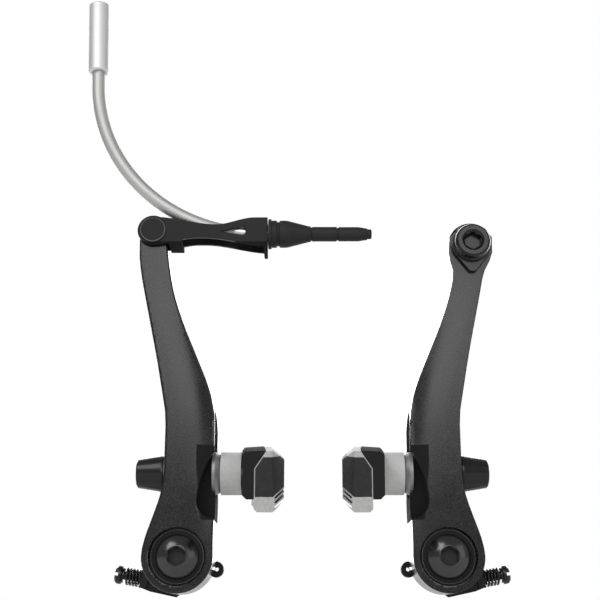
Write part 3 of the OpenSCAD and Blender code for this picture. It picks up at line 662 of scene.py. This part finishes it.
def wire(node, finish, points, radius):
    """A round wire along a smooth curve near its points, in place of a CAD node."""
    curve = bpy.data.curves.new(node, "CURVE")
    curve.dimensions = "3D"
    curve.bevel_depth = radius
    curve.bevel_resolution = 3
    curve.use_fill_caps = True
    spline = curve.splines.new("NURBS")
    spline.points.add(len(points) - 1)
    for control, point in zip(spline.points, points):
        control.co = (*point, 1.0)
    spline.order_u = 3
    spline.use_endpoint_u = True
    spline.resolution_u = 4
    drawn = bpy.data.objects.new(node, curve)
    bpy.context.scene.collection.objects.link(drawn)
    bpy.context.view_layer.update()
    mesh = bpy.data.meshes.new_from_object(drawn.evaluated_get(bpy.context.evaluated_depsgraph_get()))
    bpy.data.objects.remove(drawn)
    bpy.data.curves.remove(curve)
    shape = bmesh.new()
    shape.from_mesh(mesh)
    bmesh.ops.remove_doubles(shape, verts=shape.verts, dist=WELD)
    bmesh.ops.recalc_face_normals(shape, faces=shape.faces)
    shape.to_mesh(mesh)
    shape.free()
    smooth_by_angle(mesh, WIRE_SMOOTH_ANGLE)
    piece(node + "_finished", mesh, node, finish)


def turn_points(radius, turns, steps):
    """Where a coil goes: its share of the whole way, then two coordinates about its axis, at steps a turn."""
    count = round(turns * steps)
    for i in range(count + 1):
        angle = math.tau * i / steps
        yield i / count, radius * math.cos(angle), radius * math.sin(angle)


def tension_spring_path():
    """The coil on the tension screw, about X, with the screw's head at the origin."""
    return [
        Vector((SCREW_COIL_START + SCREW_COIL_RUN * share, a, b))
        for share, a, b in turn_points(SCREW_COIL_R, SCREW_COIL_TURNS, SCREW_COIL_STEPS)]


def return_spring_path():
    """The return spring of one arm: hook, long leg, coil about the pivot and the short leg behind it."""
    long_leg = [Vector((SPRING_R, y * MM, z * MM)) for y, z in SPRING_LONG_LEG_YZ]
    coil = [
        Vector((a, SPRING_DEEP_Y + SPRING_RISE * share, -b))
        for share, a, b in turn_points(SPRING_R, SPRING_TURNS, SPRING_STEPS)]
    short_leg = [Vector((x * MM, y * MM, -SPRING_R)) for x, y in SPRING_SHORT_LEG_XY]
    return long_leg + coil + short_leg


def side_matrix(side):
    """From one arm's own place, with its pivot at the origin, to the brake's frame."""
    flip = 1 if side == "left" else -1
    return Matrix.Diagonal((flip, 1, 1, 1)) @ Matrix.Translation((-HALF_SPACING, 0, 0))


FINISHES = {}


def soften_all(context, names, finish, width):
    for name in names:
        softened(name, merged(name), FINISHES[finish], width, context.scene.brake_edges.segments)
    return {"FINISHED"}


def on_sides(*parts):
    return [f"{side}_{part}" for side in SIDES for part in parts]


class BRAKE_OT_finishes(bpy.types.Operator):
    """Make the brake's materials"""

    bl_idname = "brake.finishes"
    bl_label = "Finishes"

    def execute(self, context):
        FINISHES.update(build_finishes(context.scene.brake_finish))
        return {"FINISHED"}


class BRAKE_OT_arms(bpy.types.Operator):
    """Finish the two arms"""

    bl_idname = "brake.arms"
    bl_label = "Arms"

    def execute(self, context):
        edges = context.scene.brake_edges
        for node in on_sides("arm"):
            softened(node, arm_shape(node, edges), FINISHES["arm"], edges.small, edges.segments)
        return {"FINISHED"}


class BRAKE_OT_pivots(bpy.types.Operator):
    """Finish the bushes, washers, bolts and stopper plates of the pivots"""

    bl_idname = "brake.pivots"
    bl_label = "Pivots"

    def execute(self, context):
        width = context.scene.brake_edges.small
        soften_all(context, on_sides("mounting_bolt"), "head", width)
        soften_all(context, on_sides("pivot_washer"), "flange", width)
        soften_all(context, on_sides("pivot_bush"), "bush", width)
        return soften_all(context, on_sides("stopper_plate"), "steel", width)


class BRAKE_OT_springs(bpy.types.Operator):
    """Finish the spring holders, return springs and tension screws"""

    bl_idname = "brake.springs"
    bl_label = "Springs"

    def execute(self, context):
        edges = context.scene.brake_edges
        soften_all(context, on_sides("spring_holder"), "plastic", CRISP)
        soften_all(context, on_sides("tension_screw"), "bolt", edges.small)
        for side in SIDES:
            place = side_matrix(side)
            at_screw = place @ Matrix.Translation(SCREW_HEAD) @ Matrix.Rotation(SCREW_TILT, 4, "Y")
            wire(f"{side}_tension_spring", FINISHES["bolt"],
                 [at_screw @ point for point in tension_spring_path()], SCREW_WIRE_R)
            wire(f"{side}_return_spring", FINISHES["spring"],
                 [place @ point for point in return_spring_path()], SPRING_WIRE_R)
        return {"FINISHED"}


class BRAKE_OT_shoe_mounting(bpy.types.Operator):
    """Finish the studs, nuts, spacers and domed washers"""

    bl_idname = "brake.shoe_mounting"
    bl_label = "Shoe mounting"

    def execute(self, context):
        width = context.scene.brake_edges.small
        washers = on_sides("inner_dome_washer", "outer_dome_washer", "outer_seat_washer")
        soften_all(context, on_sides("spacer_washer"), "spacer", width)
        soften_all(context, washers, "washer", width)
        soften_all(context, on_sides("shoe_nut"), "bolt", width)
        return soften_all(context, on_sides("shoe_stud"), "steel", width)


class BRAKE_OT_shoes(bpy.types.Operator):
    """Finish the brake pads and their backings"""

    bl_idname = "brake.shoes"
    bl_label = "Shoes"

    def execute(self, context):
        width = context.scene.brake_edges.moulded
        soften_all(context, on_sides("brake_pad"), "pad", width)
        return soften_all(context, on_sides("shoe_backing"), "backing", width)


class BRAKE_OT_link(bpy.types.Operator):
    """Finish the link and its pin"""

    bl_idname = "brake.link"
    bl_label = "Link"

    def execute(self, context):
        width = context.scene.brake_edges.small
        soften_all(context, ["link"], "link", width)
        return soften_all(context, ["link_pin"], "pin", width)


class BRAKE_OT_noodle(bpy.types.Operator):
    """Finish the noodle, its ferrule, tip and boot"""

    bl_idname = "brake.noodle"
    bl_label = "Noodle and boot"

    def execute(self, context):
        edges = context.scene.brake_edges
        soften_all(context, ["noodle_tube"], "noodle", edges.small)
        soften_all(context, ["noodle_ferrule"], "ferrule", edges.small)
        soften_all(context, ["noodle_tip"], "steel", edges.small)
        return soften_all(context, ["boot"], "rubber", edges.moulded)


class BRAKE_OT_cable_bolt(bpy.types.Operator):
    """Finish the cable bolt and its clamp plate"""

    bl_idname = "brake.cable_bolt"
    bl_label = "Cable bolt"

    def execute(self, context):
        width = context.scene.brake_edges.small
        return soften_all(context, ["cable_bolt", "cable_clamp_plate"], "bolt", width)


# Stage

def look_at(from_point, to_point):
    """The placement of a camera or lamp at one point, turned to look at another."""
    aim = (Vector(to_point) - Vector(from_point)).normalized()
    return Matrix.Translation(from_point) @ aim.to_track_quat("-Z", "Y").to_matrix().to_4x4()


def set_camera(scene, studio):
    aim = Vector(studio.aim)
    away = Vector((0, -math.cos(studio.look_up), -math.sin(studio.look_up)))
    data = bpy.data.cameras.new("camera")
    data.lens = studio.lens
    data.sensor_width = SENSOR_WIDTH
    data.clip_start = 0.01
    camera = bpy.data.objects.new("camera", data)
    scene.collection.objects.link(camera)
    camera.matrix_world = look_at(aim + away * studio.distance, aim)
    scene.camera = camera


def lay_floor(scene, studio):
    shape = bmesh.new()
    bmesh.ops.create_circle(shape, cap_ends=True, segments=96, radius=FLOOR_R)
    bmesh.ops.translate(shape, verts=shape.verts, vec=(0, 0, -studio.floor_drop))
    mesh = bpy.data.meshes.new("floor")
    shape.to_mesh(mesh)
    shape.free()
    floor = bpy.data.objects.new("floor", mesh)
    scene.collection.objects.link(floor)
    pale = Finish("floor_pale", FLOOR_COLOUR, FLOOR_ROUGHNESS, Specular_IOR_Level=0.0)
    mesh.materials.append(pale.material)


def hang_lamp(scene, name, from_point, to_point, size, power, only_reflected):
    """A soft lamp; one that is only reflected shows in glossy surfaces and lights nothing else."""
    light = bpy.data.lights.new(name, "AREA")
    light.shape = "RECTANGLE"
    light.size, light.size_y = size
    light.energy = power
    lamp = bpy.data.objects.new(name, light)
    scene.collection.objects.link(lamp)
    lamp.matrix_world = look_at(from_point, to_point)
    lamp.visible_camera = False
    lamp.visible_diffuse = not only_reflected


def light_world(scene, studio):
    """Even light from all around, which is white to the camera and dimmer in glossy surfaces."""
    world = bpy.data.worlds.new("studio")
    scene.world = world
    world.use_nodes = True
    maker = NodeMaker(world.node_tree)
    ambient = world.node_tree.nodes["Background"]
    maker.feed(ambient.inputs["Color"], WHITE)
    maker.feed(ambient.inputs["Strength"], studio.surround)
    layered = Socket(maker, ambient.outputs[0])
    camera_ray = maker.make("ShaderNodeLightPath", output="Is Camera Ray")
    direct_ray = camera_ray.most(camera_ray.output("Is Transmission Ray"))
    for strength, ray in ((studio.reflected, camera_ray.output("Is Glossy Ray")), (1.0, direct_ray)):
        seen = maker.make("ShaderNodeBackground", {}, {"Color": WHITE, "Strength": strength})
        layered = maker.make("ShaderNodeMixShader", {}, {0: ray, 1: layered, 2: seen})
    maker.feed(world.node_tree.nodes["World Output"].inputs["Surface"], layered)


class BRAKE_OT_stage(bpy.types.Operator):
    """Set up the floor, the light and the camera"""

    bl_idname = "brake.stage"
    bl_label = "Stage"

    def execute(self, context):
        scene = context.scene
        set_camera(scene, scene.brake_studio)
        lay_floor(scene, scene.brake_studio)
        for row in LAMPS:
            hang_lamp(scene, *row)
        light_world(scene, scene.brake_studio)
        scene.view_settings.view_transform = "Standard"
        return {"FINISHED"}


STEPS = (
    BRAKE_OT_finishes, BRAKE_OT_stage, BRAKE_OT_arms, BRAKE_OT_pivots, BRAKE_OT_springs,
    BRAKE_OT_shoe_mounting, BRAKE_OT_shoes, BRAKE_OT_link, BRAKE_OT_noodle, BRAKE_OT_cable_bolt,
)


class BRAKE_PT_panel(bpy.types.Panel):
    """The brake's settings and steps"""

    bl_idname = "BRAKE_PT_panel"
    bl_label = "Linear-pull brake"
    bl_space_type = "VIEW_3D"
    bl_region_type = "UI"
    bl_category = "Brake"

    def draw(self, context):
        for group in (context.scene.brake_finish, context.scene.brake_edges, context.scene.brake_studio):
            for name in group.bl_rna.properties.keys():
                if name not in ("rna_type", "name"):
                    self.layout.prop(group, name)
        for step in STEPS:
            self.layout.operator(step.bl_idname)


GROUPS = {"brake_finish": BrakeFinish, "brake_edges": BrakeEdges, "brake_studio": BrakeStudio}
CLASSES = (*GROUPS.values(), *STEPS, BRAKE_PT_panel)


def register():
    for kind in CLASSES:
        bpy.utils.register_class(kind)
    for name, kind in GROUPS.items():
        setattr(bpy.types.Scene, name, PointerProperty(type=kind))


def unregister():
    for name in GROUPS:
        delattr(bpy.types.Scene, name)
    for kind in reversed(CLASSES):
        bpy.utils.unregister_class(kind)


def main():
    register()
    for step in STEPS:
        group, name = step.bl_idname.split(".")
        getattr(getattr(bpy.ops, group), name)()


if __name__ == "__main__":
    main()
